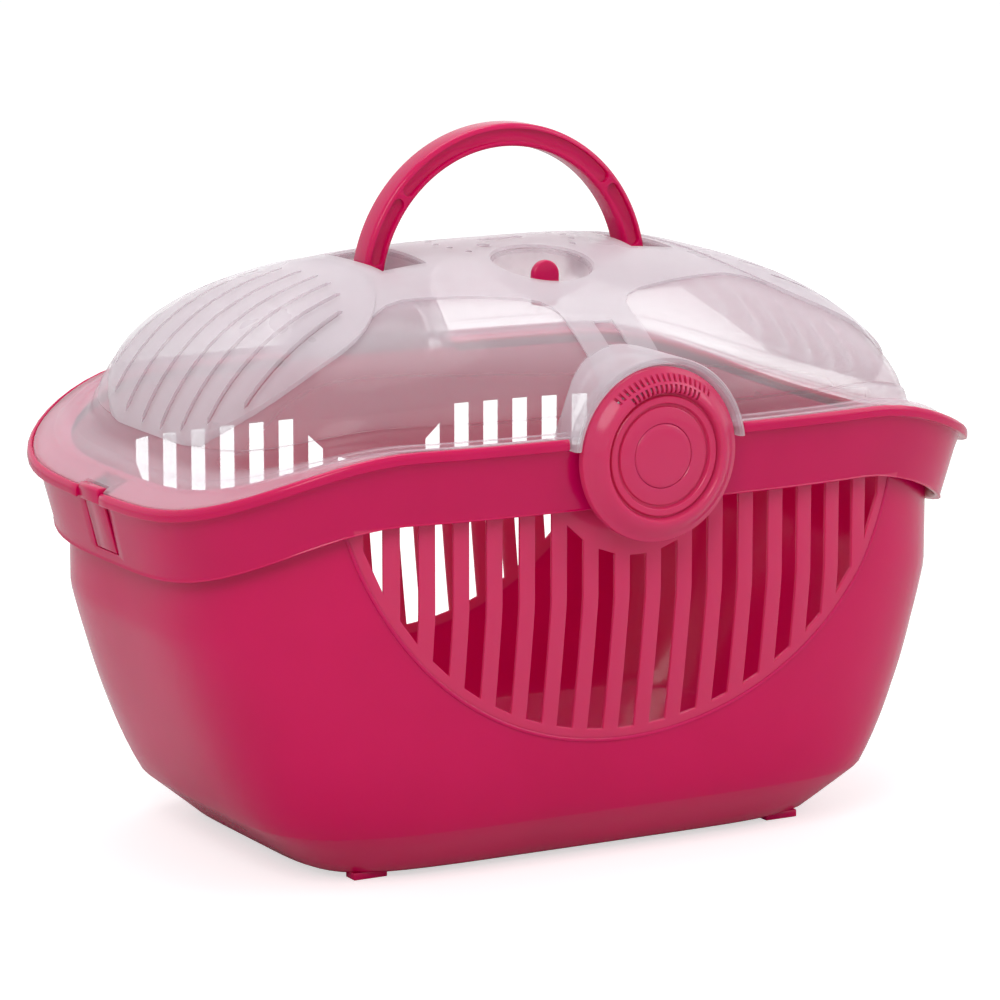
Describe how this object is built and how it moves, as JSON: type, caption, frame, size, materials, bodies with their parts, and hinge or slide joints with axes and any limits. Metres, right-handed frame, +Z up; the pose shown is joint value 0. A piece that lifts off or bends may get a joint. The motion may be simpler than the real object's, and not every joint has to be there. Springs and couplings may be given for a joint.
{
  "type": "pet carrier",
  "caption": "Open-top pet carrier: moulded tub with slotted sides, clear domed lid, round side latches, end clips and a folding carry handle.",
  "frame": {"origin": "middle of the footprint, on the floor under the feet", "axes": "+X along the length to the right end, -Y to the front latch, +Z up"},
  "size_m": [0.4996, 0.359, 0.388],
  "materials": {
    "pink_plastic": "glossy injection-moulded polypropylene, magenta pink",
    "clear_plastic": "translucent polypropylene, clear windows and frosted panels"
  },
  "bodies": {
    "tub": {"tub_shell": "pink_plastic", "front_latch_pin": "pink_plastic", "rear_latch_pin": "pink_plastic"},
    "front_latch": {"front_latch_disc": "pink_plastic", "front_latch_cap": "pink_plastic"},
    "rear_latch": {"rear_latch_disc": "pink_plastic", "rear_latch_cap": "pink_plastic"},
    "lid": {"lid_shell": "clear_plastic"},
    "handle": {"carry_handle": "pink_plastic"},
    "knob": {"turn_knob": "pink_plastic", "knob_retainer": "pink_plastic"},
    "left_clip": {"left_end_clip": "pink_plastic"},
    "right_clip": {"right_end_clip": "pink_plastic"}
  },
  "joints": [
    {"name": "front_latch_hinge", "type": "hinge", "parent": "tub", "child": "front_latch", "pos_m": [0, -0.1615, 0.1955], "axis": [1, 0, 0], "range_deg": [0, 40]},
    {"name": "rear_latch_hinge", "type": "hinge", "parent": "tub", "child": "rear_latch", "pos_m": [0, 0.1615, 0.1955], "axis": [-1, 0, 0], "range_deg": [0, 40]},
    {"name": "lid_hinge", "type": "hinge", "parent": "tub", "child": "lid", "pos_m": [0, 0.175, 0.284], "axis": [-1, 0, 0], "range_deg": [0, 80]},
    {"name": "handle_fold", "type": "hinge", "parent": "lid", "child": "handle", "pos_m": [0, 0, 0.3055], "axis": [1, 0, 0], "range_deg": [-45, 45]},
    {"name": "knob_turn", "type": "hinge", "parent": "lid", "child": "knob", "pos_m": [0, -0.05, 0.2995], "axis": [0, 0, 1], "range_deg": [0, 90]},
    {"name": "left_clip_flex", "type": "hinge", "parent": "tub", "child": "left_clip", "pos_m": [-0.23767, 0, 0.1735], "axis": [0, -1, 0], "range_deg": [0, 8], "stiffness_Nm_per_rad": 1.5},
    {"name": "right_clip_flex", "type": "hinge", "parent": "tub", "child": "right_clip", "pos_m": [0.23767, 0, 0.1735], "axis": [0, 1, 0], "range_deg": [0, 8], "stiffness_Nm_per_rad": 1.5}
  ]
}
